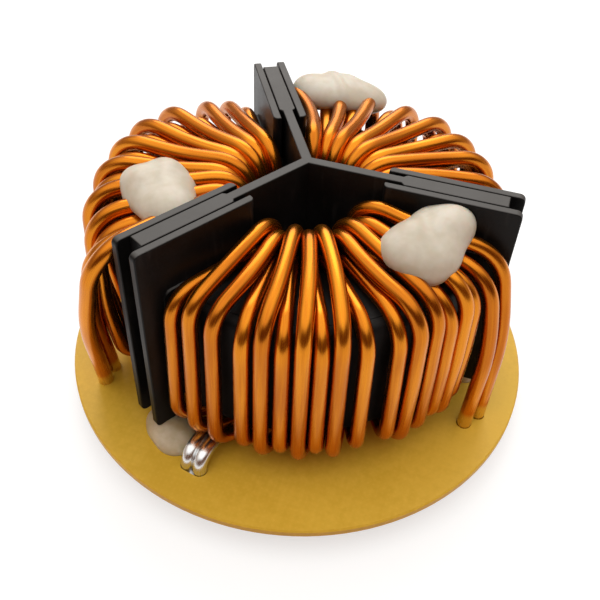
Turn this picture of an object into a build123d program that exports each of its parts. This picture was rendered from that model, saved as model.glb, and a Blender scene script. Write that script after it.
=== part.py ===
from build123d import *
import math
import os

# Three-phase common-mode choke: a cased ring core with three windings of two parallel wires,
# parted by a three-armed divider, on a round base plate. Millimetres, +Z up.
# The origin is at the centre of the base plate's underside, and one divider arm lies along +X.

# Base plate and leads
base_margin = 10.5            # rim of the plate beyond the case
base_thickness = 1.2
base_edge = 0.2               # chamfer of the plate's rim
pin_length = 3.5              # leads below the base plate
pin_diameter = 1.6            # stripped and tinned end of a lead
pin_shoulder = 0.2            # the stripped end starts this far below the plate
pin_play = 0.2                # room round a lead in its hole
pin_tip_chamfer = 0.3

# Ring core and its two-part case
case_outer_radius = 23.5
case_bore_radius = 11.4
case_height = 18.7
case_lift = 5.3               # underside of the case above the base plate
case_wall = 1.5
case_edge = 1.4               # rounding of the case's edges
lid_thickness = 1.5
lid_play = 0.1
core_play = 0.3

# Three-armed divider
arm_count = 3
divider_height = 31.9         # top of the divider above the base plate
web_thickness = 1.4
web_play = 0.15               # blade edge to the bore wall
tongue_thickness = 2.3
tongue_start_radius = 12.5
tongue_reach = 2.3            # tongue's end beyond the case
tongue_chamfer = 0.4          # shoulders at the tongue's inner end
top_edge = 0.18               # rounding of the edges round the top faces

# Saddles that clip over the core at each arm
plate_thickness = 1.1
plate_spacing = 2.48          # between the two plates of a saddle
plate_inner_radius = 10.5
plate_reach = 4.1             # plates' outer ends beyond the case
plate_foot = 1.85             # underside of the plates above the base plate
plate_corner = 0.8
plate_nose = 0.7              # rounding of the plates' inner ends
sleeve_wall = 0.9
sleeve_corner = 1.2
collar_reach = 0.35           # the sleeve's rim stands out from each plate
collar_inner_radius = 17.5
saddle_play = 0.1             # sleeve to case

# Windings
wire_diameter = 1.7
wire_gap = 0.05               # least room between a wire and what it lies on
turns = 9
bore_stagger = 1.0            # every second upper wire stands further into the bore
spread_radius = 17.5          # where the upper wires leave the second layer, over the core
under_spread_radius = 18.8    # the same, under the core
inner_crown = 0.9             # rise of the upper wires at the bore's top edge
crown = 0.2                   # rise of the upper wires over the core
belly = 0.35                  # outward bow of a wire on the core's outside
lead_belly = 1.5              # outward bow of the finish leads
wire_bend_limit = 40.0        # largest bend radius of a nearly straight run
start_lead_inset = 5.5        # from the base plate's rim
start_lead_pitch = 1.8        # between the two start leads of a winding
start_lead_angle = 19.2       # degrees from the arm
start_elbow_height = 2.3
start_elbow_bend = 1.5
under_run_radius = 19.5       # start leads are down on the base plate here
under_run_angle = 17.2
under_run_spread = 2.9        # degrees to each side
finish_lead_rise = 0.1        # finish leads start to lean this far above the base plate

# Silicone
bead_play = 0.03              # bead to wires
foot_radius = 3.7
foot_height = 2.7
foot_reach = 1.9              # middle of the glue beyond the case
foot_side_place = 1.6

# Shares, chosen by hand
outer_rise_share = 0.75       # of a wire's stand-off, at the core's outer top edge
outer_bend_share = 2.4        # of a wire's stand-off, added to its bend there
upper_outer_share = 0.15      # of the layer pitch, at the outer top edge
upper_under_share = 0.3       # of the layer pitch, at the outer bottom edge
spread_share = 0.3            # of a wire's sideways travel, done at the spread radius
spread_rise_share = 0.55      # of an upper wire's rise, left at the spread radius
heel_share = 0.65             # of the wire diameter, stand-off at the core's outer bottom edge
heel_stand_share = 0.3        # of a wire's stand-off, added there
run_share = 0.45              # of the shorter run, used by a bend
lobe_corner_share = 0.9       # of a silicone lobe's half width
lobe_edge_share = 0.8         # of a silicone lobe's half height

# Places of the passes on the core's outside, in shares of the sector, and their stand-off
# and rise in wire diameters. The finish leads' radii are shares of the base plate's, and their
# angles are degrees from the first arm.
windings = {
    "front": dict(
        arm_angle=240.0,
        lower_angle_shares=(0.076, 0.261, 0.351, 0.435, 0.535, 0.612, 0.754, 0.835, 0.886),
        upper_angle_shares=(0.132, 0.191, 0.306, 0.394, 0.477, 0.656, 0.709, 0.793, 0.942),
        lower_stand_shares=(0.3, 0.45, 0.4, 0.4, 0.4, 0.45, 0.7, 0.9, 1.1),
        upper_stand_shares=(0.3, 0.35, 0.45, 0.55, 0.55, 0.8, 0.6, 1.0, 1.3),
        upper_lift_shares=(0.0, 0.1, 0.0, 0.5, 0.0, 0.2, 0.1, 0.6, 0.7),
        finish_lead_radius_shares=(0.844, 0.871),
        finish_lead_angles=(102.0, 107.0),
    ),
    "rear": dict(
        arm_angle=0.0,
        lower_angle_shares=(0.078, 0.250, 0.345, 0.446, 0.528, 0.632, 0.748, 0.834, 0.888),
        upper_angle_shares=(0.136, 0.196, 0.300, 0.392, 0.487, 0.588, 0.704, 0.793, 0.942),
        lower_stand_shares=(0.8, 1.1, 1.3, 1.5, 1.5, 1.4, 1.2, 1.3, 1.8),
        upper_stand_shares=(1.2, 1.6, 1.9, 2.2, 2.4, 2.2, 2.0, 1.9, 2.2),
        upper_lift_shares=(0.3, 0.6, 0.4, 0.7, 0.5, 0.8, 0.5, 0.7, 0.7),
        finish_lead_radius_shares=(0.835, 0.871),
        finish_lead_angles=(101.5, 106.5),
    ),
    "left": dict(
        arm_angle=120.0,
        lower_angle_shares=(0.080, 0.256, 0.350, 0.438, 0.530, 0.622, 0.742, 0.816, 0.868),
        upper_angle_shares=(0.134, 0.194, 0.302, 0.394, 0.484, 0.580, 0.698, 0.778, 0.930),
        lower_stand_shares=(0.8, 1.2, 1.6, 1.8, 1.7, 1.6, 1.5, 1.6, 2.4),
        upper_stand_shares=(1.3, 1.9, 2.6, 2.8, 2.6, 2.4, 2.3, 2.1, 3.1),
        upper_lift_shares=(0.3, 0.6, 0.4, 0.8, 0.5, 0.8, 0.5, 0.7, 0.7),
        finish_lead_radius_shares=(0.835, 0.876),
        finish_lead_angles=(94.5, 98.5),
    ),
}

# Silicone beads: each lobe is radius from the axis, degrees from the winding's first arm,
# height above the case, half width and half height, all lengths in wire diameters
bead_shares = {
    "front": ((10.6, 103.0, 2.4, 2.8, 1.7), (11.6, 109.0, 2.95, 1.8, 1.35), (9.7, 97.0, 2.0, 1.8, 1.35)),
    "rear": ((15.0, 98.0, 2.6, 2.6, 1.6), (14.6, 106.5, 2.4, 1.9, 1.5), (15.0, 89.0, 2.2, 2.0, 1.5)),
    "left": ((11.4, 87.0, 2.7, 2.6, 1.7), (11.6, 101.0, 2.95, 2.2, 1.4)),
}

# Worked out from the sizes above
sector = 360.0 / arm_count
base_radius = case_outer_radius + base_margin
base_top = base_thickness
case_bottom = base_top + case_lift
case_top = case_bottom + case_height
divider_top = base_top + divider_height
plate_bottom = base_top + plate_foot
tongue_end_radius = case_outer_radius + tongue_reach
plate_outer_radius = case_outer_radius + plate_reach
saddle_half = plate_spacing / 2 + plate_thickness
sleeve_bore = case_outer_radius + saddle_play
sleeve_seat = case_top + saddle_play
sleeve_top = sleeve_seat + sleeve_wall
wire_radius = wire_diameter / 2
seat = wire_radius + wire_gap
layer = wire_diameter + wire_gap
bore_radii = (case_bore_radius - seat, case_bore_radius - seat - layer)
bends = (case_edge + seat, case_edge + seat + layer)
core_mid_height = (case_bottom + case_top) / 2
start_lead_radius = base_radius - start_lead_inset


def polar(radius, degrees, height):
    turn = math.radians(degrees)
    return Vector(radius * math.cos(turn), radius * math.sin(turn), height)


def beside_arm(side, radius):
    return math.degrees(math.asin(side / radius))


def base_plate():
    disc = Cylinder(base_radius, base_thickness, align=(Align.CENTER, Align.CENTER, Align.MIN))
    disc = chamfer(disc.edges(), base_edge)
    hole_width = wire_diameter + 2 * pin_play
    for plan in windings.values():
        slot = extrude(SlotCenterToCenter(start_lead_pitch, hole_width), base_thickness)
        turn = Rot(0, 0, plan["arm_angle"] + start_lead_angle)
        disc -= turn * Pos(start_lead_radius, 0, 0) * Rot(0, 0, 90) * slot
        for share, degrees in zip(plan["finish_lead_radius_shares"], plan["finish_lead_angles"]):
            place = polar(share * base_radius, plan["arm_angle"] + degrees, 0)
            hole = Cylinder(hole_width / 2, base_thickness, align=(Align.CENTER, Align.CENTER, Align.MIN))
            disc -= Pos(place) * hole
    return disc


def ring(inner, outer, bottom, top):
    section = Pos((inner + outer) / 2, (bottom + top) / 2) * Rectangle(outer - inner, top - bottom)
    return revolve(Plane.XZ * section, Axis.Z)


def core_case_cup():
    width = case_outer_radius - case_bore_radius
    middle = case_bore_radius + width / 2
    outline = Pos(middle, core_mid_height) * RectangleRounded(width, case_height, case_edge)
    body = revolve(Plane.XZ * outline, Axis.Z)
    inner = case_bore_radius + case_wall
    outer = case_outer_radius - case_wall
    return body - ring(inner, outer, case_bottom + case_wall, case_top)


def core_case_lid():
    inner = case_bore_radius + case_wall + lid_play
    outer = case_outer_radius - case_wall - lid_play
    return ring(inner, outer, case_top - lid_thickness, case_top)


def toroid_core():
    inner = case_bore_radius + case_wall + core_play
    outer = case_outer_radius - case_wall - core_play
    return ring(inner, outer, case_bottom + case_wall, case_top - lid_thickness)


def slab(points, thickness):
    # An upright slab along +X, centred on Y = 0, from its outline in X and Z
    outline = Plane.XZ * make_face(Polyline(*points, close=True))
    return extrude(outline, thickness / 2, both=True)


def rounded_top(solid):
    return fillet(solid.faces().sort_by(Axis.Z)[-1].edges(), top_edge)


def phase_divider():
    reach = case_bore_radius - web_play
    blade_points = [
        (0, base_top),
        (reach, base_top),
        (reach, sleeve_top),
        (tongue_end_radius, sleeve_top),
        (tongue_end_radius, divider_top),
        (0, divider_top),
    ]
    tongue_points = [
        (tongue_start_radius, sleeve_top),
        (tongue_end_radius, sleeve_top),
        (tongue_end_radius, divider_top),
        (tongue_start_radius, divider_top),
    ]
    tongue = slab(tongue_points, tongue_thickness)
    shoulders = tongue.edges().filter_by(Axis.Z).group_by(Axis.X)[0]
    arm = slab(blade_points, web_thickness) + chamfer(shoulders, tongue_chamfer)
    body = arm
    for number in range(1, arm_count):
        body += Rot(0, 0, number * sector) * arm
    return rounded_top(body)


def saddle_plate():
    points = [
        (plate_inner_radius, sleeve_seat),
        (sleeve_bore, sleeve_seat),
        (sleeve_bore, plate_bottom),
        (plate_outer_radius, plate_bottom),
        (plate_outer_radius, divider_top),
        (plate_inner_radius, divider_top),
    ]
    plate = Pos(0, (plate_spacing + plate_thickness) / 2, 0) * slab(points, plate_thickness)
    upright = plate.edges().filter_by(Axis.Z)
    nose = upright.group_by(Axis.X)[0].sort_by(Axis.Y)[-1]
    plate = fillet(nose, plate_nose)
    corners = plate.edges().filter_by(Axis.Y).group_by(Axis.X)[-1]
    return rounded_top(fillet(corners, plate_corner))


def sleeve(start_radius, half_width):
    points = [
        (start_radius, sleeve_seat),
        (sleeve_bore, sleeve_seat),
        (sleeve_bore, plate_bottom),
        (sleeve_bore + sleeve_wall, plate_bottom),
        (sleeve_bore + sleeve_wall, sleeve_top),
        (start_radius, sleeve_top),
    ]
    band = slab(points, 2 * half_width)
    crest = band.edges().filter_by(Axis.Y).group_by(Axis.Z)[-1].sort_by(Axis.X)[-1]
    return fillet(crest, sleeve_corner)


def separator_saddle(number):
    plate = saddle_plate()
    body = plate + mirror(plate, Plane.XZ) + sleeve(tongue_start_radius, saddle_half)
    body += sleeve(collar_inner_radius, saddle_half + collar_reach)
    return Rot(0, 0, number * sector) * body


def bore_place(strand, turn):
    # Radius and angle of a pass in the bore: the lower wires lie on the bore wall, and the
    # upper ones inside them, every second one further in so that neighbours clear
    first = beside_arm(saddle_half + seat, bore_radii[0] - strand * layer / 2)
    inset = strand * bore_stagger * ((turn + 1) % 2)
    angle = first + (sector - 2 * first) * turn / (turns - 1)
    return bore_radii[strand] - inset, angle, inset


def start_lead(strand):
    # Pin, elbow and the run under the core to the first pass in the bore
    radius, angle, inset = bore_place(strand, 0)
    if strand == 0:
        angle = beside_arm(web_thickness / 2 + seat, radius)
    half_pitch = math.degrees(start_lead_pitch / start_lead_radius / 2)
    way = 1 if strand else -1
    lead_angle = start_lead_angle + way * half_pitch
    under = base_top + seat
    return [
        (polar(start_lead_radius, lead_angle, -pin_length), 0),
        (polar(start_lead_radius, lead_angle, base_top + start_elbow_height), start_elbow_bend),
        (polar(under_run_radius, under_run_angle + way * under_run_spread, under), wire_bend_limit),
        (polar(radius, angle, under), bends[0]),
    ]


def finish_lead(plan, strand, reach, outer_angle):
    # From the core's outer top edge down the outside to the pin
    radius = plan["finish_lead_radius_shares"][strand] * base_radius
    angle = plan["finish_lead_angles"][strand]
    bow = (reach + radius) / 2 + lead_belly
    return [
        (polar(bow, (outer_angle + angle) / 2, core_mid_height), wire_bend_limit),
        (polar(radius, angle, base_top + finish_lead_rise), wire_bend_limit),
        (polar(radius, angle, -pin_length), 0),
    ]


def strand_corners(plan, strand):
    # Corner points of one wire from pin to pin, each with the bend wanted there
    angles = plan["upper_angle_shares"] if strand else plan["lower_angle_shares"]
    stands = plan["upper_stand_shares"] if strand else plan["lower_stand_shares"]
    lifts = plan["upper_lift_shares"] if strand else (0,) * turns
    top = case_top + seat + strand * layer
    bottom = case_bottom - seat - strand * layer
    corners = start_lead(strand)
    for turn in range(turns):
        radius, angle, inset = bore_place(strand, turn)
        rise = inset + lifts[turn] * wire_diameter + strand * inner_crown
        stand = stands[turn] * wire_diameter
        reach = case_outer_radius + seat + stand
        outer_angle = angles[turn] * sector
        corners.append((polar(radius, angle, top + rise), bends[strand] + inset))
        if strand:
            spread_angle = angle + (outer_angle - angle) * spread_share
            spread_height = top + spread_rise_share * rise + crown
            corners.append((polar(spread_radius, spread_angle, spread_height), wire_bend_limit))
        edge_height = case_top + seat + outer_rise_share * stand + strand * upper_outer_share * layer
        corners.append((polar(reach, outer_angle, edge_height), bends[0] + outer_bend_share * stand))
        if turn == turns - 1:
            corners += finish_lead(plan, strand, reach, outer_angle)
            break
        corners.append((polar(reach + belly, outer_angle, core_mid_height), wire_bend_limit))
        heel_reach = case_outer_radius + seat + heel_share * wire_diameter + heel_stand_share * stand
        heel_height = case_bottom - seat - strand * upper_under_share * layer
        corners.append((polar(heel_reach, outer_angle, heel_height), bends[0]))
        radius, angle, inset = bore_place(strand, turn + 1)
        spread_angle = angle + (outer_angle - angle) * spread_share
        corners.append((polar(under_spread_radius, spread_angle, bottom - inset), wire_bend_limit))
        corners.append((polar(radius, angle, bottom - inset), bends[strand] + inset))
    return corners


def bend_radii(corners):
    radii = []
    for before, here, after in zip(corners, corners[1:], corners[2:]):
        run_in = here[0] - before[0]
        run_out = after[0] - here[0]
        half_turn = math.radians(run_in.get_angle(run_out)) / 2
        largest = run_share * min(run_in.length, run_out.length) / math.tan(half_turn)
        radii.append(min(here[1], largest))
    return radii


def wire_body(corners, radius):
    path = FilletPolyline(*[corner[0] for corner in corners], radius=bend_radii(corners))
    section = Plane(path @ 0, z_dir=path % 0) * Circle(radius)
    return sweep(section, path=path)


def winding_strand(plan, strand):
    corners = strand_corners(plan, strand)
    wire = wire_body(corners, wire_radius)
    upright = (Align.CENTER, Align.CENTER, Align.MIN)
    stripped = Cylinder(wire_diameter, pin_length - pin_shoulder, align=upright)
    stripped -= Cylinder(pin_diameter / 2, pin_length, align=upright)
    for end in (corners[0][0], corners[-1][0]):
        wire -= Pos(end) * stripped
    tips = wire.edges().filter_by(GeomType.CIRCLE).group_by(Axis.Z)[0]
    wire = chamfer(tips, pin_tip_chamfer)
    return Rot(0, 0, plan["arm_angle"]) * wire


def lobe(place, half_width, half_height):
    # A pillow of silicone, rounded all over
    outline = RectangleRounded(2 * half_width, 2 * half_width, half_width * lobe_corner_share)
    body = extrude(outline, half_height, both=True)
    rims = body.faces().sort_by(Axis.Z)[-1].edges() + body.faces().sort_by(Axis.Z)[0].edges()
    return Pos(place) * fillet(rims, half_height * lobe_edge_share)


def silicone_bead(name, cutters):
    arm_angle = windings[name]["arm_angle"]
    body = None
    for radius, degrees, height, half_width, half_height in bead_shares[name]:
        place = polar(radius * wire_diameter, arm_angle + degrees, case_top + height * wire_diameter)
        drop = lobe(place, half_width * wire_diameter, half_height * wire_diameter)
        body = drop if body is None else body + drop
    for cutter in cutters:
        body -= cutter
    return body.solids().sort_by(SortBy.VOLUME)[-1]


def silicone_foot(number, saddle):
    dome = lobe(Vector(case_outer_radius + foot_reach, foot_side_place, base_top), foot_radius, foot_height)
    ground = Pos(0, 0, base_top) * Box(2 * base_radius, 2 * base_radius, divider_height,
                                       align=(Align.CENTER, Align.CENTER, Align.MIN))
    body = Rot(0, 0, number * sector) * (dome & ground) - saddle
    return body.solids().sort_by(SortBy.VOLUME)[-1]


def main():
    os.makedirs("parts", exist_ok=True)
    arm_names = ("right", "rear", "left")
    parts = {
        "base_plate": base_plate(),
        "toroid_core": toroid_core(),
        "core_case_cup": core_case_cup(),
        "core_case_lid": core_case_lid(),
        "phase_divider": phase_divider(),
    }
    for number, name in enumerate(arm_names):
        saddle = separator_saddle(number)
        parts["separator_saddle_" + name] = saddle
        parts["silicone_foot_" + name] = silicone_foot(number, saddle)
    for name, plan in windings.items():
        for strand in range(2):
            parts[f"{name}_winding_strand_{strand + 1}"] = winding_strand(plan, strand)
    for name, plan in windings.items():
        arm = arm_names[round(plan["arm_angle"] / sector + 1) % arm_count]
        cutters = [parts["separator_saddle_" + arm]]
        for strand in range(2):
            groove = wire_body(strand_corners(plan, strand), wire_radius + bead_play)
            cutters.append(Rot(0, 0, plan["arm_angle"]) * groove)
        cutters.append(ring(case_bore_radius, case_outer_radius, case_bottom, case_top))
        parts["silicone_bead_" + name] = silicone_bead(name, cutters)
    for name, shape in parts.items():
        export_step(shape, f"parts/{name}.step")


main()
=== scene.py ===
import math

import bmesh
import bpy
import numpy as np
from mathutils import Matrix, Vector


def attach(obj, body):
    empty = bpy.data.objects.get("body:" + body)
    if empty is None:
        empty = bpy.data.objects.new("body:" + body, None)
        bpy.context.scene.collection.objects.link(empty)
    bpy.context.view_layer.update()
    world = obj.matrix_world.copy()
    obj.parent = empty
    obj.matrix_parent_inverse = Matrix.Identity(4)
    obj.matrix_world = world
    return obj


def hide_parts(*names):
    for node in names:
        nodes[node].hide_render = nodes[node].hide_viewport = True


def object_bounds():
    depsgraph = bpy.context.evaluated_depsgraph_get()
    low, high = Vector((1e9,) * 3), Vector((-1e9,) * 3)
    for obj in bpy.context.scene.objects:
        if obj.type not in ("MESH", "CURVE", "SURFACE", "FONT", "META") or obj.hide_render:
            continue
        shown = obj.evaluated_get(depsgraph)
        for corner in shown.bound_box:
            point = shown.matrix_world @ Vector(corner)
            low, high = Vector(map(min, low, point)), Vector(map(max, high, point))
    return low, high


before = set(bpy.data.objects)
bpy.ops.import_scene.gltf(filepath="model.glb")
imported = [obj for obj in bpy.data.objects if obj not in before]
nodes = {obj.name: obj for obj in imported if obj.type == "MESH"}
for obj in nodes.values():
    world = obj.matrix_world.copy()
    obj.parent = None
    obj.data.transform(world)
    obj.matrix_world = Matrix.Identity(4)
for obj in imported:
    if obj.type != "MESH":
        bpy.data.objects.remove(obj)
cadLow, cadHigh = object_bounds()
mm = 0.001
weld = 0.002 * mm   # points closer than this become one
print("frame loaded,", len(nodes), "nodes")


# Helpers for meshes and node trees

def surfaceMesh(name, points, uv, material):
    # points[row, column] is the surface on a grid, in mm. A quad joins two rows and two columns, and the
    # last column joins the first. uv[row, column] has one column more.
    rows, columns = points.shape[:2]
    row, column = np.meshgrid(np.arange(rows - 1), np.arange(columns), indexing="ij")
    rowSet = np.stack([row, row, row + 1, row + 1], -1).ravel()
    columnSet = np.stack([column, column + 1, column + 1, column], -1).ravel()
    corner = rowSet * columns + columnSet % columns
    mesh = bpy.data.meshes.new(name)
    mesh.vertices.add(rows * columns)
    mesh.vertices.foreach_set("co", (points * mm).astype(np.float32).ravel())
    mesh.loops.add(len(corner))
    mesh.loops.foreach_set("vertex_index", corner.astype(np.int32))
    mesh.polygons.add(len(corner) // 4)
    mesh.polygons.foreach_set("loop_start", np.arange(0, len(corner), 4, dtype=np.int32))
    mesh.update(calc_edges=True)
    layer = mesh.uv_layers.new(name="surfaceUv")
    layer.data.foreach_set("uv", uv[rowSet, columnSet].astype(np.float32).ravel())
    mesh.materials.append(material)
    return mesh


def finishedPiece(name, mesh, slotName, *stoodFor):
    # Poles are merged to one point, shading is smooth, and the piece rides on the part's only body
    work = bmesh.new()
    work.from_mesh(mesh)
    bmesh.ops.remove_doubles(work, verts=work.verts, dist=weld)
    work.to_mesh(mesh)
    work.free()
    mesh.shade_smooth()
    piece = bpy.data.objects.new(name, mesh)
    bpy.context.scene.collection.objects.link(piece)
    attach(piece, "root")
    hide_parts(*stoodFor)


def addNode(tree, kind, settings=None, **inputs):
    node = tree.nodes.new(kind)
    for key, value in (settings or {}).items():
        setattr(node, key, value)
    for key, value in inputs.items():
        socket = node.inputs[key.replace("_", " ")]
        if isinstance(value, bpy.types.NodeSocket):
            tree.links.new(value, socket)
        else:
            socket.default_value = value
    return node


def newMaterial(name, **plain):
    material = bpy.data.materials.new(name)
    material.use_nodes = True
    shader = material.node_tree.nodes["Principled BSDF"]
    for key, value in plain.items():
        shader.inputs[key.replace("_", " ")].default_value = value
    return material, material.node_tree, shader


def newGroup(name, inputs, outputs):
    group = bpy.data.node_groups.new(name, "ShaderNodeTree")
    for label, kind, value in inputs:
        socket = group.interface.new_socket(label, in_out="INPUT", socket_type=kind)
        if value is not None:
            socket.default_value = value
    for label, kind in outputs:
        group.interface.new_socket(label, in_out="OUTPUT", socket_type=kind)
    start = group.nodes.new("NodeGroupInput")
    end = group.nodes.new("NodeGroupOutput")
    return group, start, end


def placeGroup(tree, group, **inputs):
    return addNode(tree, "ShaderNodeGroup", dict(node_tree=group), **inputs)


def blendColor(tree, factor, first, second):
    mix = addNode(tree, "ShaderNodeMix", dict(data_type="RGBA"))
    for index, value in ((0, factor), (6, first), (7, second)):
        if isinstance(value, bpy.types.NodeSocket):
            tree.links.new(value, mix.inputs[index])
        else:
            mix.inputs[index].default_value = value
    return mix.outputs[2]


def spread(tree, value, low, high, toLow, toHigh):
    node = addNode(tree, "ShaderNodeMapRange", dict(interpolation_type="SMOOTHSTEP"), Value=value)
    for label, number in (("From Min", low), ("From Max", high), ("To Min", toLow), ("To Max", toHigh)):
        node.inputs[label].default_value = number
    return node.outputs["Result"]


# Effects that several finishes share

mottling = dict(broad=200.0, broadDetail=3.0, fine=2000.0, fineDetail=2.0, fineShare=0.35)
scuffing = dict(scale=300.0, amount=0.5, detail=4.0, crestLow=0.58, crestHigh=0.72)


def makeMottle():
    # Two noises, a broad and a fine one, mixed into one value round 0.5
    group, start, end = newGroup(
        "mottle",
        [
            ("Vector", "NodeSocketVector", None),
            ("Broad", "NodeSocketFloat", mottling["broad"]),
            ("Fine", "NodeSocketFloat", mottling["fine"]),
        ],
        [("Value", "NodeSocketFloat"), ("Fine Value", "NodeSocketFloat")],
    )
    place = start.outputs["Vector"]
    broad = addNode(
        group, "ShaderNodeTexNoise",
        Vector=place, Scale=start.outputs["Broad"], Detail=mottling["broadDetail"])
    fine = addNode(
        group, "ShaderNodeTexNoise",
        Vector=place, Scale=start.outputs["Fine"], Detail=mottling["fineDetail"])
    mixed = addNode(group, "ShaderNodeMix", dict(data_type="FLOAT"))
    mixed.inputs[0].default_value = mottling["fineShare"]
    group.links.new(broad.outputs["Fac"], mixed.inputs[2])
    group.links.new(fine.outputs["Fac"], mixed.inputs[3])
    group.links.new(mixed.outputs[0], end.inputs["Value"])
    group.links.new(fine.outputs["Fac"], end.inputs["Fine Value"])
    return group


def makeScuffs():
    # Thin lines: a noise stretched hard one way, kept only near its crests
    group, start, end = newGroup(
        "scuffs",
        [
            ("Vector", "NodeSocketVector", None),
            ("Scale", "NodeSocketFloat", scuffing["scale"]),
            ("Amount", "NodeSocketFloat", scuffing["amount"]),
        ],
        [("Mask", "NodeSocketFloat")],
    )
    lines = addNode(
        group, "ShaderNodeTexNoise",
        Vector=start.outputs["Vector"], Scale=start.outputs["Scale"], Detail=scuffing["detail"])
    crest = spread(group, lines.outputs["Fac"], scuffing["crestLow"], scuffing["crestHigh"], 0.0, 1.0)
    faded = addNode(group, "ShaderNodeMath", dict(operation="MULTIPLY"))
    group.links.new(crest, faded.inputs[0])
    group.links.new(start.outputs["Amount"], faded.inputs[1])
    group.links.new(faded.outputs[0], end.inputs["Mask"])
    return group


mottle = makeMottle()
scuffs = makeScuffs()


# Finishes

clouding = dict(toneLow=0.35, toneHigh=0.65, roughFrom=0.3, roughTo=0.7)   # span of the mottle in use


def cloudTone(tree, cloud, first, second):
    share = spread(tree, cloud.outputs["Value"], clouding["toneLow"], clouding["toneHigh"], 0.0, 1.0)
    return blendColor(tree, share, first, second)


def cloudRoughness(tree, shader, value, low, high):
    rough = spread(tree, value, clouding["roughFrom"], clouding["roughTo"], low, high)
    tree.links.new(rough, shader.inputs["Roughness"])


def addBump(tree, shader, height, strength, depth):
    bump = addNode(tree, "ShaderNodeBump", Strength=strength, Distance=depth, Height=height)
    tree.links.new(bump.outputs["Normal"], shader.inputs["Normal"])


enamel = dict(
    deep=(0.46, 0.120, 0.007, 1), bright=(0.72, 0.250, 0.014, 1), toneLow=0.7, toneHigh=1.3,
    tin=(0.76, 0.77, 0.78, 1), fluxAndBaseReflection=(0.74, 0.50, 0.15, 1), metal=0.97, coat=0.07, coatRough=0.15, coatIor=1.5,
    streaksAround=9.0, streaksAlong=0.05, streakBroad=1.0, streakFine=3.5,
    patchesAround=1.2, patchesAlong=0.06, patchDetail=2.0, scuffScale=2.3, scuffAmount=0.35,
    rough=0.21, roughStreaks=0.10, roughScuffs=0.14, bump=0.28, bumpDepth=0.00005,
)


def enamelledWire():
    e = enamel
    material, tree, shader = newMaterial(
        "enamelledWire", Coat_Roughness=e["coatRough"], Coat_IOR=e["coatIor"])
    uv = addNode(tree, "ShaderNodeUVMap", dict(uv_map="surfaceUv")).outputs["UV"]   # turns round, mm along
    streakSize = (e["streaksAround"], e["streaksAlong"], 1)
    patchSize = (e["patchesAround"], e["patchesAlong"], 1)
    streakPlace = addNode(tree, "ShaderNodeMapping", Vector=uv, Scale=streakSize).outputs["Vector"]
    patchPlace = addNode(tree, "ShaderNodeMapping", Vector=uv, Scale=patchSize).outputs["Vector"]
    streaks = placeGroup(tree, mottle, Vector=streakPlace, Broad=e["streakBroad"], Fine=e["streakFine"])
    patches = addNode(tree, "ShaderNodeTexNoise", Vector=patchPlace, Scale=1.0, Detail=e["patchDetail"])
    lines = placeGroup(tree, scuffs, Vector=streakPlace, Scale=e["scuffScale"], Amount=e["scuffAmount"])
    bare = addNode(tree, "ShaderNodeAttribute", dict(attribute_name="bareMetal")).outputs["Fac"]
    stripped = addNode(tree, "ShaderNodeAttribute", dict(attribute_name="strippedStub")).outputs["Fac"]
    tone = addNode(tree, "ShaderNodeMath", dict(operation="ADD"))
    tree.links.new(streaks.outputs["Value"], tone.inputs[0])
    tree.links.new(patches.outputs["Fac"], tone.inputs[1])
    share = spread(tree, tone.outputs[0], e["toneLow"], e["toneHigh"], 0.0, 1.0)
    color = blendColor(tree, share, e["deep"], e["bright"])
    # The stripped foot is painted yellowish: flux, and a painted reflection of the yellow base plate
    color = blendColor(tree, stripped, color, e["fluxAndBaseReflection"])
    tree.links.new(blendColor(tree, bare, color, e["tin"]), shader.inputs["Base Color"])
    tree.links.new(spread(tree, bare, 0.0, 1.0, e["metal"], 1.0), shader.inputs["Metallic"])
    dull = addNode(tree, "ShaderNodeMath", dict(operation="MULTIPLY_ADD"))
    tree.links.new(streaks.outputs["Fine Value"], dull.inputs[0])
    dull.inputs[1].default_value = e["roughStreaks"]
    dull.inputs[2].default_value = e["rough"]
    scratched = addNode(tree, "ShaderNodeMath", dict(operation="MULTIPLY_ADD"))
    tree.links.new(lines.outputs["Mask"], scratched.inputs[0])
    scratched.inputs[1].default_value = e["roughScuffs"]
    tree.links.new(dull.outputs[0], scratched.inputs[2])
    tree.links.new(scratched.outputs[0], shader.inputs["Roughness"])
    tree.links.new(spread(tree, bare, 0.0, 1.0, e["coat"], 0.0), shader.inputs["Coat Weight"])
    addBump(tree, shader, streaks.outputs["Fine Value"], e["bump"], e["bumpDepth"])
    return material


plastic = dict(
    dark=(0.0040, 0.0040, 0.0042, 1), light=(0.0085, 0.0085, 0.0088, 1), worn=(0.030, 0.030, 0.030, 1),
    sheenAndDust=(0.105, 0.102, 0.098, 1), sheenFrom=0.6, sheenTo=0.98, cloud=180.0,
    scuffSize=(1.0, 1.0, 0.15), scuffScale=900.0, scuffAmount=0.35, bump=0.12, bumpDepth=0.00004,
)


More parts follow.
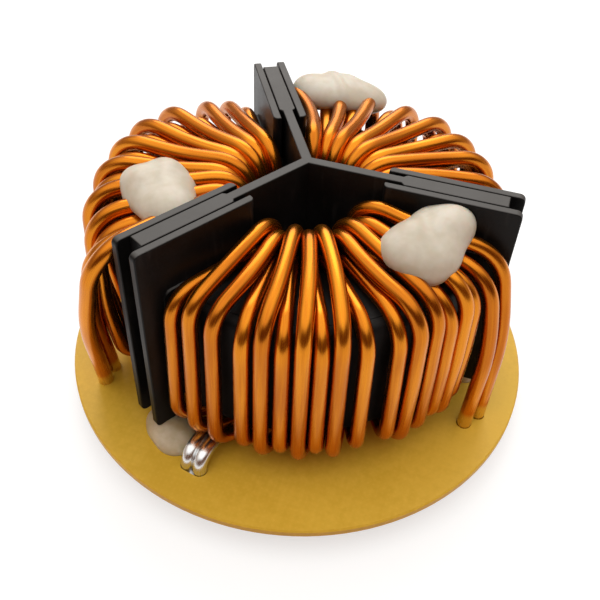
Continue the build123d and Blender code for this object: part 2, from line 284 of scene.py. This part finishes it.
def mouldedPlastic(name, shine, grain, sheenAndDustShare, roughLow, roughHigh):
    p = plastic
    material, tree, shader = newMaterial(name, Specular_IOR_Level=shine)
    whereabouts = addNode(tree, "ShaderNodeTexCoord")
    place = whereabouts.outputs["Object"]
    upward = addNode(tree, "ShaderNodeSeparateXYZ", Vector=whereabouts.outputs["Normal"]).outputs["Z"]
    cloud = placeGroup(tree, mottle, Vector=place, Broad=p["cloud"], Fine=grain)
    along = addNode(tree, "ShaderNodeMapping", Vector=place, Scale=p["scuffSize"]).outputs["Vector"]
    lines = placeGroup(tree, scuffs, Vector=along, Scale=p["scuffScale"], Amount=p["scuffAmount"])
    color = cloudTone(tree, cloud, p["dark"], p["light"])
    color = blendColor(tree, lines.outputs["Mask"], color, p["worn"])
    # Upward faces get some dust and a painted sheen, which lightens them as light from above would
    paintedTopSheen = spread(tree, upward, p["sheenFrom"], p["sheenTo"], 0.0, sheenAndDustShare)   # faces that look up are greyer
    tree.links.new(blendColor(tree, paintedTopSheen, color, p["sheenAndDust"]), shader.inputs["Base Color"])
    cloudRoughness(tree, shader, cloud.outputs["Value"], roughLow, roughHigh)
    addBump(tree, shader, cloud.outputs["Fine Value"], p["bump"], p["bumpDepth"])
    return material


laminate = dict(
    dark=(0.65, 0.390, 0.033, 1), light=(0.74, 0.460, 0.050, 1), fibre=(0.78, 0.52, 0.075, 1),
    coat=0.04, coatRough=0.3, shine=0.2, cloud=45.0, grain=900.0, weave=420.0, weaveWarp=1.5,
    threadFrom=0.3, threadAmount=0.16, roughLow=0.34, roughHigh=0.46, bump=0.05, bumpDepth=0.00005,
)


def baseLaminate():
    p = laminate
    material, tree, shader = newMaterial(
        "baseLaminate", Coat_Weight=p["coat"], Coat_Roughness=p["coatRough"], Specular_IOR_Level=p["shine"])
    place = addNode(tree, "ShaderNodeTexCoord").outputs["Object"]
    cloud = placeGroup(tree, mottle, Vector=place, Broad=p["cloud"], Fine=p["grain"])
    weave = addNode(tree, "ShaderNodeMath", dict(operation="MULTIPLY"))
    for index, way in enumerate("XY"):
        threads = addNode(
            tree, "ShaderNodeTexWave", dict(bands_direction=way),
            Vector=place, Scale=p["weave"], Distortion=p["weaveWarp"])
        tree.links.new(threads.outputs["Fac"], weave.inputs[index])
    color = cloudTone(tree, cloud, p["dark"], p["light"])
    shown = spread(tree, weave.outputs[0], p["threadFrom"], 1.0, 0.0, p["threadAmount"])
    tree.links.new(blendColor(tree, shown, color, p["fibre"]), shader.inputs["Base Color"])
    cloudRoughness(tree, shader, cloud.outputs["Value"], p["roughLow"], p["roughHigh"])
    addBump(tree, shader, weave.outputs[0], p["bump"], p["bumpDepth"])
    return material


sealant = dict(
    beadShade=(0.52, 0.465, 0.365, 1), beadPale=(0.62, 0.575, 0.49, 1),
    footShade=(0.44, 0.34, 0.19, 1), footPale=(0.62, 0.53, 0.39, 1),
    inside=0.25, insideScale=0.0012, shine=0.4, cloud=160.0, grain=700.0,
    roughLow=0.32, roughHigh=0.5, bump=0.25, bumpDepth=0.0003,
)


def siliconeSealant(name, shade, pale):
    p = sealant
    material, tree, shader = newMaterial(
        name, Subsurface_Weight=p["inside"], Subsurface_Scale=p["insideScale"], Specular_IOR_Level=p["shine"])
    place = addNode(tree, "ShaderNodeTexCoord").outputs["Object"]
    cloud = placeGroup(tree, mottle, Vector=place, Broad=p["cloud"], Fine=p["grain"])
    tree.links.new(cloudTone(tree, cloud, shade, pale), shader.inputs["Base Color"])
    cloudRoughness(tree, shader, cloud.outputs["Value"], p["roughLow"], p["roughHigh"])
    addBump(tree, shader, cloud.outputs["Value"], p["bump"], p["bumpDepth"])
    return material


ferrite = dict(
    dark=(0.03, 0.03, 0.032, 1), light=(0.075, 0.072, 0.07, 1), cloud=300.0, grain=2500.0,
    roughLow=0.55, roughHigh=0.75,
)


def ferriteCore():
    p = ferrite
    material, tree, shader = newMaterial("ferriteCore")
    place = addNode(tree, "ShaderNodeTexCoord").outputs["Object"]
    cloud = placeGroup(tree, mottle, Vector=place, Broad=p["cloud"], Fine=p["grain"])
    color = blendColor(tree, cloud.outputs["Value"], p["dark"], p["light"])
    tree.links.new(color, shader.inputs["Base Color"])
    cloudRoughness(tree, shader, cloud.outputs["Fine Value"], p["roughLow"], p["roughHigh"])
    return material


wireFinish = enamelledWire()
separatorFinish = mouldedPlastic(
    "separatorPlastic", shine=0.14, grain=2600.0, sheenAndDustShare=0.75, roughLow=0.35, roughHigh=0.45)
caseFinish = mouldedPlastic(
    "casePlastic", shine=0.12, grain=1800.0, sheenAndDustShare=0.1, roughLow=0.5, roughHigh=0.62)
baseFinish = baseLaminate()
beadFinish = siliconeSealant("sealantBead", sealant["beadShade"], sealant["beadPale"])
footFinish = siliconeSealant("sealantFoot", sealant["footShade"], sealant["footPale"])
coreFinish = ferriteCore()
print("finishes made")

for nodeName, node in nodes.items():
    finish = separatorFinish
    if nodeName == "base_plate":
        finish = baseFinish
    elif nodeName == "toroid_core":
        finish = coreFinish
    elif nodeName.startswith("core_case"):
        finish = caseFinish
    elif nodeName.startswith("silicone"):
        finish = beadFinish
    elif "winding" in nodeName:
        finish = wireFinish
    node.data.materials.clear()
    node.data.materials.append(finish)


# Windings: two wires each, close to the solids' paths and a little thicker

coil = dict(
    baseTop=1.2, baseRadius=34.0, pinLength=3.5,
    caseOuter=23.5, caseBore=11.4, caseBottom=6.5, caseTop=25.2, caseEdge=1.4, webHalf=0.7, saddleHalf=2.34,
    wire=1.7, gap=0.05, turns=9, sector=120.0, stagger=1.0, spreadRadius=17.5, underSpreadRadius=18.8,
    innerCrown=0.9, crown=0.2, belly=0.35, leadBelly=1.5, bendLimit=40.0, leastTurn=1e-6,
    startRadius=28.5, startPitch=1.8, startAngle=19.2, elbowHeight=2.3, elbowBend=1.5,
    underRadius=19.5, underAngle=17.2, underSpread=2.9, finishRise=0.1,
    outerRise=0.75, outerBend=2.4, upperOuter=0.15, upperUnder=0.3, spreadShare=0.3, spreadRise=0.55,
    heel=0.65, heelStand=0.3, runShare=0.45,
    pinWire=1.6, pinShoulder=0.2, step=0.42, sides=22, soften=0.55, tipRound=0.35, strandShift=1000.0,
    tinned=15.5, tinnedFade=1.5, stripped=6.6, strippedFade=0.9,
)
# Outside places in shares of the sector, stand-off and lift in wire diameters
windings = {
    "front": dict(
        arm=240.0, shownWire=2.0,
        lowerAngles=(0.076, 0.261, 0.351, 0.435, 0.535, 0.612, 0.754, 0.835, 0.886),
        upperAngles=(0.132, 0.191, 0.306, 0.394, 0.477, 0.656, 0.709, 0.793, 0.942),
        lowerStands=(0.3, 0.45, 0.4, 0.4, 0.4, 0.45, 0.7, 0.9, 1.1),
        upperStands=(0.3, 0.35, 0.45, 0.55, 0.55, 0.8, 0.6, 1.0, 1.3),
        upperLifts=(0.0, 0.1, 0.0, 0.5, 0.0, 0.2, 0.1, 0.6, 0.7),
        finishShares=(0.844, 0.871), finishAngles=(102.0, 107.0),
    ),
    "rear": dict(
        arm=0.0, shownWire=2.15,
        lowerAngles=(0.078, 0.250, 0.345, 0.446, 0.528, 0.632, 0.748, 0.834, 0.888),
        upperAngles=(0.136, 0.196, 0.300, 0.392, 0.487, 0.588, 0.704, 0.793, 0.942),
        lowerStands=(1.1, 1.5, 1.8, 2.1, 2.2, 2.0, 1.8, 1.7, 2.0),
        upperStands=(1.2, 1.6, 1.9, 2.2, 2.4, 2.2, 2.0, 1.9, 2.2),
        upperLifts=(0.3, 0.6, 0.4, 0.7, 0.5, 0.8, 0.5, 0.7, 0.7),
        finishShares=(0.835, 0.871), finishAngles=(101.5, 106.5),
    ),
    "left": dict(
        arm=120.0, shownWire=2.15,
        lowerAngles=(0.080, 0.256, 0.350, 0.438, 0.530, 0.622, 0.742, 0.816, 0.868),
        upperAngles=(0.134, 0.194, 0.302, 0.394, 0.484, 0.580, 0.698, 0.778, 0.930),
        lowerStands=(1.2, 1.7, 2.3, 2.5, 2.4, 2.2, 2.0, 1.9, 2.5),
        upperStands=(1.3, 1.9, 2.6, 2.8, 2.6, 2.4, 2.3, 2.1, 3.1),
        upperLifts=(0.3, 0.6, 0.4, 0.8, 0.5, 0.8, 0.5, 0.7, 0.7),
        finishShares=(0.835, 0.876), finishAngles=(94.5, 98.5),
    ),
}
wireHalf = coil["wire"] / 2
seat = wireHalf + coil["gap"]
layer = coil["wire"] + coil["gap"]


def polar(radius, degrees, height):
    turn = np.radians(degrees)
    return np.array([radius * np.cos(turn), radius * np.sin(turn), height])


def besideArm(side, radius):
    return math.degrees(math.asin(side / radius))


def borePlace(strand, turn):
    # The lower wires lie on the bore wall, the upper ones inside them, every second one further in
    wall = coil["caseBore"] - seat
    first = besideArm(coil["saddleHalf"] + seat, wall - strand * layer / 2)
    inset = strand * coil["stagger"] * ((turn + 1) % 2)
    angle = first + (coil["sector"] - 2 * first) * turn / (coil["turns"] - 1)
    return wall - strand * layer - inset, angle, inset


def wireCorners(plan, strand):
    # Corner points of one wire from pin to pin, with the bend wanted at each
    c = coil
    angles = plan["upperAngles"] if strand else plan["lowerAngles"]
    stands = plan["upperStands"] if strand else plan["lowerStands"]
    lifts = plan["upperLifts"] if strand else (0.0,) * c["turns"]
    edgeBend = c["caseEdge"] + seat
    boreBend = edgeBend + strand * layer
    top = c["caseTop"] + seat + strand * layer
    bottom = c["caseBottom"] - seat - strand * layer
    middle = (c["caseBottom"] + c["caseTop"]) / 2
    way = 1 if strand else -1
    leadAngle = c["startAngle"] + way * math.degrees(c["startPitch"] / c["startRadius"] / 2)
    under = c["baseTop"] + seat
    radius, angle, inset = borePlace(strand, 0)
    if strand == 0:
        angle = besideArm(c["webHalf"] + seat, radius)
    corners = [
        (polar(c["startRadius"], leadAngle, -c["pinLength"]), 0),
        (polar(c["startRadius"], leadAngle, c["baseTop"] + c["elbowHeight"]), c["elbowBend"]),
        (polar(c["underRadius"], c["underAngle"] + way * c["underSpread"], under), c["bendLimit"]),
        (polar(radius, angle, under), edgeBend),
    ]
    for turn in range(c["turns"]):
        radius, angle, inset = borePlace(strand, turn)
        rise = inset + lifts[turn] * c["wire"] + strand * c["innerCrown"]
        stand = stands[turn] * c["wire"]
        reach = c["caseOuter"] + seat + stand
        outer = angles[turn] * c["sector"]
        corners.append((polar(radius, angle, top + rise), boreBend + inset))
        if strand:
            spreadAngle = angle + (outer - angle) * c["spreadShare"]
            spreadHeight = top + c["spreadRise"] * rise + c["crown"]
            corners.append((polar(c["spreadRadius"], spreadAngle, spreadHeight), c["bendLimit"]))
        edge = c["caseTop"] + seat + c["outerRise"] * stand + strand * c["upperOuter"] * layer
        corners.append((polar(reach, outer, edge), edgeBend + c["outerBend"] * stand))
        if turn == c["turns"] - 1:
            break
        corners.append((polar(reach + c["belly"], outer, middle), c["bendLimit"]))
        heel = c["caseOuter"] + seat + c["heel"] * c["wire"] + c["heelStand"] * stand
        heelHeight = c["caseBottom"] - seat - strand * c["upperUnder"] * layer
        corners.append((polar(heel, outer, heelHeight), edgeBend))
        radius, angle, inset = borePlace(strand, turn + 1)
        spreadAngle = angle + (outer - angle) * c["spreadShare"]
        corners.append((polar(c["underSpreadRadius"], spreadAngle, bottom - inset), c["bendLimit"]))
        corners.append((polar(radius, angle, bottom - inset), boreBend + inset))
    pinRadius = plan["finishShares"][strand] * c["baseRadius"]
    pinAngle = plan["finishAngles"][strand]
    bow = (reach + pinRadius) / 2 + c["leadBelly"]
    corners.append((polar(bow, (outer + pinAngle) / 2, middle), c["bendLimit"]))
    corners.append((polar(pinRadius, pinAngle, c["baseTop"] + c["finishRise"]), c["bendLimit"]))
    corners.append((polar(pinRadius, pinAngle, -c["pinLength"]), 0))
    places, bends = zip(*corners)
    return np.array(places), np.array(bends, float)


def roundedLine(corners, bends, step):
    # Straight runs joined by arcs. At a corner that turns by w, the arc of radius b starts b * tan(w / 2)
    # before the corner, and a point of it is start + b * (sin a * in + (1 - cos a) * across).
    runs = np.diff(corners, axis=0)
    lengths = np.linalg.norm(runs, axis=1)
    ways = runs / lengths[:, None]
    turns = np.arccos(np.clip((ways[:-1] * ways[1:]).sum(1), -1, 1))
    turns = np.maximum(turns, coil["leastTurn"])
    most = coil["runShare"] * np.minimum(lengths[:-1], lengths[1:]) / np.tan(turns / 2)
    radii = np.minimum(bends[1:-1], most)
    cut = np.concatenate([[0], radii * np.tan(turns / 2), [0]])
    pieces = np.zeros(2 * len(turns) + 1)
    pieces[0::2] = lengths - cut[:-1] - cut[1:]
    pieces[1::2] = radii * turns
    starts = np.concatenate([[0], np.cumsum(pieces)])
    along = np.linspace(0, starts[-1], int(starts[-1] / step) + 1)
    index = np.clip(np.searchsorted(starts, along, side="right") - 1, 0, len(pieces) - 1)
    local = (along - starts[index])[:, None]
    run = index // 2
    straight = corners[run] + ways[run] * (cut[run][:, None] + local)
    bend = np.clip((index - 1) // 2, 0, len(turns) - 1)
    wayIn, wayOut, turn = ways[bend], ways[bend + 1], turns[bend][:, None]
    across = (wayOut - wayIn * np.cos(turn)) / np.sin(turn)
    angle = local / radii[bend][:, None]
    begin = corners[bend + 1] - wayIn * cut[bend + 1][:, None]
    curved = begin + radii[bend][:, None] * (np.sin(angle) * wayIn + (1 - np.cos(angle)) * across)
    return np.where((index % 2 == 1)[:, None], curved, straight), along


def softened(line, sigma):
    # Each point becomes the bell-weighted mean of its neighbours, so curvature changes gradually
    reach = int(np.ceil(3 * sigma))
    weights = np.exp(-0.5 * (np.arange(-reach, reach + 1) / sigma) ** 2)
    weights /= weights.sum()
    padded = np.pad(line, ((reach, reach), (0, 0)), mode="reflect", reflect_type="odd")
    return np.stack([np.convolve(padded[:, axis], weights, mode="valid") for axis in range(3)], 1)


def wireTube(line, along, shown):
    # A ring of the wire's radius round each point of the line. Its side axis is the direction round the
    # core's axis, squared up to the wire, so the tube never twists. Both tips are rounded off.
    ways = np.gradient(line, axis=0)
    ways /= np.linalg.norm(ways, axis=1)[:, None]
    around = np.stack([-line[:, 1], line[:, 0], 0 * line[:, 0]], 1)
    side = around - ways * (around * ways).sum(1)[:, None]
    side /= np.linalg.norm(side, axis=1)[:, None]
    out = np.cross(side, ways)
    nearTip = np.minimum(along, along[-1] - along) / coil["tipRound"]
    thickness = np.where(line[:, 2] < -coil["pinShoulder"], coil["pinWire"], shown)
    radius = thickness / 2 * np.sqrt(1 - np.clip(1 - nearTip, 0, 1) ** 2)
    angle = np.linspace(0, 2 * np.pi, coil["sides"], endpoint=False)[None, :, None]
    ring = np.cos(angle) * out[:, None] + np.sin(angle) * side[:, None]
    return line[:, None] + radius[:, None, None] * ring


def makeWinding(name, plan, strand):
    corners, bends = wireCorners(plan, strand)
    line, along = roundedLine(corners, bends, coil["step"])
    line = softened(line, coil["soften"] / coil["step"])
    turn = math.radians(plan["arm"])
    spin = np.array([
        [math.cos(turn), -math.sin(turn), 0],
        [math.sin(turn), math.cos(turn), 0],
        [0, 0, 1],
    ])
    line = line @ spin.T
    points = wireTube(line, along, plan["shownWire"])
    share = np.linspace(0, 1, coil["sides"] + 1)
    uv = np.stack(np.broadcast_arrays(share[None, :], along[:, None] + coil["strandShift"] * strand), -1)
    label = f"{name}Winding{strand + 1}"
    mesh = surfaceMesh(label, points, uv, wireFinish)
    # Tinned metal from the start pin to under the core, and a stripped foot on the finish lead
    tinned = 1 - np.clip((along - coil["tinned"]) / coil["tinnedFade"], 0, 1)
    stripped = 1 - np.clip((along[-1] - along - coil["stripped"]) / coil["strippedFade"], 0, 1)
    for mask, values in (("bareMetal", tinned), ("strippedStub", stripped)):
        attribute = mesh.attributes.new(mask, "FLOAT", "POINT")
        attribute.data.foreach_set("value", np.repeat(values, coil["sides"]).astype(np.float32))
    finishedPiece(label, mesh, "enamelled_wire", f"{name}_winding_strand_{strand + 1}")


for name, plan in windings.items():
    for strand in range(2):
        makeWinding(name, plan, strand)
print("windings laid")


# Silicone: beads on the last turns, and glue at the saddles' feet

# Each lobe is radius from the axis, degrees, height, half width and half height
beads = {
    "front": (
        (18.2, 340.0, 29.4, 4.15, 2.75), (19.6, 349.0, 30.5, 2.9, 2.1),
        (17.7, 326.5, 29.2, 3.2, 2.2), (20.0, 333.5, 29.1, 2.5, 1.9),
    ),
    "rear": ((25.6, 96.5, 29.2, 4.1, 2.2), (25.0, 105.5, 29.1, 3.0, 2.2), (25.8, 87.0, 28.4, 3.3, 2.0)),
    "left": ((19.4, 202.0, 29.8, 4.1, 2.6), (18.9, 212.0, 30.0, 3.3, 2.3), (18.8, 220.5, 30.3, 3.0, 2.1)),
}
foot = dict(radius=25.4, side=1.6, across=3.3, height=2.0, smear=(26.2, 4.6), smearAcross=2.4, firstSeed=10)
blob = dict(rows=56, columns=88, rays=140, farthest=11.0, blend=1.5, lumps=7, lumpSize=0.042, lumpWaves=2.4)


def blobPoints(lobes, seed, level=None):
    # Rays leave the first lobe's centre in every direction. The surface lies where the sum of the lobes'
    # fields, exp(blend * (1 - d * d)) with d counted in lobe radii, falls to one. Seeded sine waves then
    # move it in and out a little, and what would lie below the level is pressed flat.
    lobes = np.array(lobes, float)
    upward = np.linspace(-np.pi / 2, np.pi / 2, blob["rows"])[:, None]
    around = np.linspace(0, 2 * np.pi, blob["columns"], endpoint=False)[None, :]
    girth = np.cos(upward)
    ways = np.stack(np.broadcast_arrays(girth * np.cos(around), girth * np.sin(around), np.sin(upward)), -1)
    steps = np.linspace(0, blob["farthest"], blob["rays"])
    places = lobes[0, :3] + ways[:, :, None] * steps[:, None]
    field = np.zeros(places.shape[:3])
    for x, y, z, across, up in lobes:
        away = (places - (x, y, z)) / (across, across, up)
        field += np.exp(blob["blend"] * (1 - (away ** 2).sum(-1)))
    last = blob["rays"] - 1 - np.argmax(field[:, :, ::-1] >= 1, axis=2)
    inner = np.take_along_axis(field, last[..., None], 2)[..., 0]
    outer = np.take_along_axis(field, last[..., None] + 1, 2)[..., 0]
    radius = (last + (inner - 1) / (inner - outer)) * steps[1]
    chance = np.random.default_rng(seed)
    for lump in range(blob["lumps"]):
        wave = chance.normal(0, blob["lumpWaves"], 3)
        radius *= 1 + blob["lumpSize"] * np.sin(ways @ wave + chance.uniform(0, 2 * np.pi))
    radius[0], radius[-1] = radius[0].mean(), radius[-1].mean()
    points = lobes[0, :3] + ways * radius[..., None]
    if level is not None:
        points[..., 2] = np.maximum(points[..., 2], level)
    return points


def makeBlob(label, lobes, seed, finish, stoodFor, level=None):
    points = blobPoints(lobes, seed, level)
    around, upward = np.linspace(0, 1, blob["columns"] + 1), np.linspace(0, 1, blob["rows"])
    uv = np.stack(np.meshgrid(around, upward), -1)
    mesh = surfaceMesh(label, points, uv, finish)
    finishedPiece(label, mesh, "silicone", stoodFor)


for seed, (name, lobes) in enumerate(beads.items()):
    placed = [(*polar(radius, degrees, height), across, up) for radius, degrees, height, across, up in lobes]
    makeBlob(name + "Bead", placed, seed, beadFinish, "silicone_bead_" + name)
for number, name in enumerate(("right", "rear", "left")):
    turn = math.radians(number * coil["sector"])
    spots = (
        (foot["radius"], foot["side"], foot["across"], foot["height"]),
        (*foot["smear"], foot["smearAcross"], foot["height"] / 2),
    )
    placed = []
    for out, side, across, up in spots:
        x = out * math.cos(turn) - side * math.sin(turn)
        y = out * math.sin(turn) + side * math.cos(turn)
        placed.append((x, y, coil["baseTop"], across, up))
    seed = foot["firstSeed"] + number
    makeBlob(name + "Foot", placed, seed, footFinish, "silicone_foot_" + name, coil["baseTop"])
print("silicone set")


# Floor, light and camera

studio = dict(
    floorSize=6.0, floorSeen=(0.44, 0.45, 0.46, 1), floorFelt=(0.58, 0.40, 0.31, 1), floorGlow=0.62,
    floorDrop=0.02, floorRough=0.9, floorShine=0.1,
    roomLow=(0.46, 0.35, 0.28, 1), roomTop=(1.52, 1.48, 1.42, 1), topFrom=0.30, topTo=0.88,
    roomDark=(0.14, 0.055, 0.026, 1), darkWay=(0.52, -0.85, 0.0), darkFrom=0.20, darkTo=0.62,
    bandLow=0.0, bandRise=0.10, bandFall=0.56, bandHigh=0.74,
    keyPlace=(-0.20, 0.64, 0.62), keySize=0.80, keyPower=3.6, keyTarget=(0, 0, 0.015),
)


def makeFloor():
    half = studio["floorSize"] / 2
    level = cadLow.z - studio["floorDrop"] * mm
    mesh = bpy.data.meshes.new("floor")
    corners = [(-half, -half, level), (half, -half, level), (half, half, level), (-half, half, level)]
    mesh.from_pydata(corners, [], [(0, 1, 2, 3)])
    material, tree, shader = newMaterial(
        "palePaper", Roughness=studio["floorRough"], Specular_IOR_Level=studio["floorShine"],
        Emission_Color=(1, 1, 1, 1))
    # Camera and mirrored rays see the pale floor, other light meets the darker one
    rays = addNode(tree, "ShaderNodeLightPath").outputs
    seen = rays["Is Camera Ray"]
    for ray in ("Is Glossy Ray", "Is Transmission Ray"):
        either = addNode(tree, "ShaderNodeMath", dict(operation="MAXIMUM"))
        tree.links.new(seen, either.inputs[0])
        tree.links.new(rays[ray], either.inputs[1])
        seen = either.outputs[0]
    color = blendColor(tree, seen, studio["floorFelt"], studio["floorSeen"])
    glow = spread(tree, seen, 0.0, 1.0, 0.0, studio["floorGlow"])
    tree.links.new(color, shader.inputs["Base Color"])
    tree.links.new(glow, shader.inputs["Emission Strength"])
    mesh.materials.append(material)
    floor = bpy.data.objects.new("floor", mesh)
    bpy.context.scene.collection.objects.link(floor)


def makeWorld():
    # An even bright room, brighter overhead, with a dark band low down on the side in front of the part
    world = bpy.data.worlds.new("studioWorld")
    bpy.context.scene.world = world
    world.use_nodes = True
    tree = world.node_tree
    way = addNode(tree, "ShaderNodeTexCoord").outputs["Generated"]
    height = addNode(tree, "ShaderNodeSeparateXYZ", Vector=way).outputs["Z"]
    facing = addNode(tree, "ShaderNodeVectorMath", dict(operation="DOT_PRODUCT"))
    tree.links.new(way, facing.inputs[0])
    facing.inputs[1].default_value = Vector(studio["darkWay"]).normalized()
    ahead = spread(tree, facing.outputs["Value"], studio["darkFrom"], studio["darkTo"], 0.0, 1.0)
    above = spread(tree, height, studio["bandLow"], studio["bandRise"], 0.0, 1.0)
    below = spread(tree, height, studio["bandFall"], studio["bandHigh"], 1.0, 0.0)
    band = addNode(tree, "ShaderNodeMath", dict(operation="MULTIPLY"))
    tree.links.new(above, band.inputs[0])
    tree.links.new(below, band.inputs[1])
    shade = addNode(tree, "ShaderNodeMath", dict(operation="MULTIPLY"))
    tree.links.new(band.outputs[0], shade.inputs[0])
    tree.links.new(ahead, shade.inputs[1])
    overhead = spread(tree, height, studio["topFrom"], studio["topTo"], 0.0, 1.0)
    room = blendColor(tree, overhead, studio["roomLow"], studio["roomTop"])
    room = blendColor(tree, shade.outputs[0], room, studio["roomDark"])
    tree.links.new(room, tree.nodes["Background"].inputs["Color"])


def makeLamp(name, place, size, power, target):
    data = bpy.data.lights.new(name, "AREA")
    data.shape = "DISK"
    data.size = size
    data.energy = power
    lamp = bpy.data.objects.new(name, data)
    bpy.context.scene.collection.objects.link(lamp)
    lamp.location = place
    lamp.rotation_mode = "QUATERNION"
    lamp.rotation_quaternion = (Vector(target) - Vector(place)).to_track_quat("-Z", "Y")


camera = dict(
    eye=(22.229, -78.425, 86.786), target=(0.236, -3.017, 16.2), rollDegrees=2.674,
    focalPixels=753.226, centrePixels=(297.122, 272.442), picturePixels=600, sensor=36.0, clipStart=0.005,
)


def makeCamera():
    data = bpy.data.cameras.new("camera")
    data.sensor_width = camera["sensor"]
    data.lens = camera["focalPixels"] / camera["picturePixels"] * camera["sensor"]
    data.shift_x = 0.5 - camera["centrePixels"][0] / camera["picturePixels"]
    data.shift_y = camera["centrePixels"][1] / camera["picturePixels"] - 0.5
    data.clip_start = camera["clipStart"]
    eye = Vector(camera["eye"]) * mm
    back = (eye - Vector(camera["target"]) * mm).normalized()
    right = Vector((0, 0, 1)).cross(back).normalized()
    up = back.cross(right)
    roll = math.radians(camera["rollDegrees"])
    sideways = right * math.cos(roll) + up * math.sin(roll)
    upright = up * math.cos(roll) - right * math.sin(roll)
    body = bpy.data.objects.new("camera", data)
    bpy.context.scene.collection.objects.link(body)
    body.matrix_world = Matrix.Translation(eye) @ Matrix((sideways, upright, back)).transposed().to_4x4()
    bpy.context.scene.camera = body


makeFloor()
makeWorld()
makeLamp("keyLamp", studio["keyPlace"], studio["keySize"], studio["keyPower"], studio["keyTarget"])
makeCamera()
bpy.context.scene.view_settings.view_transform = "Standard"
print("studio ready")
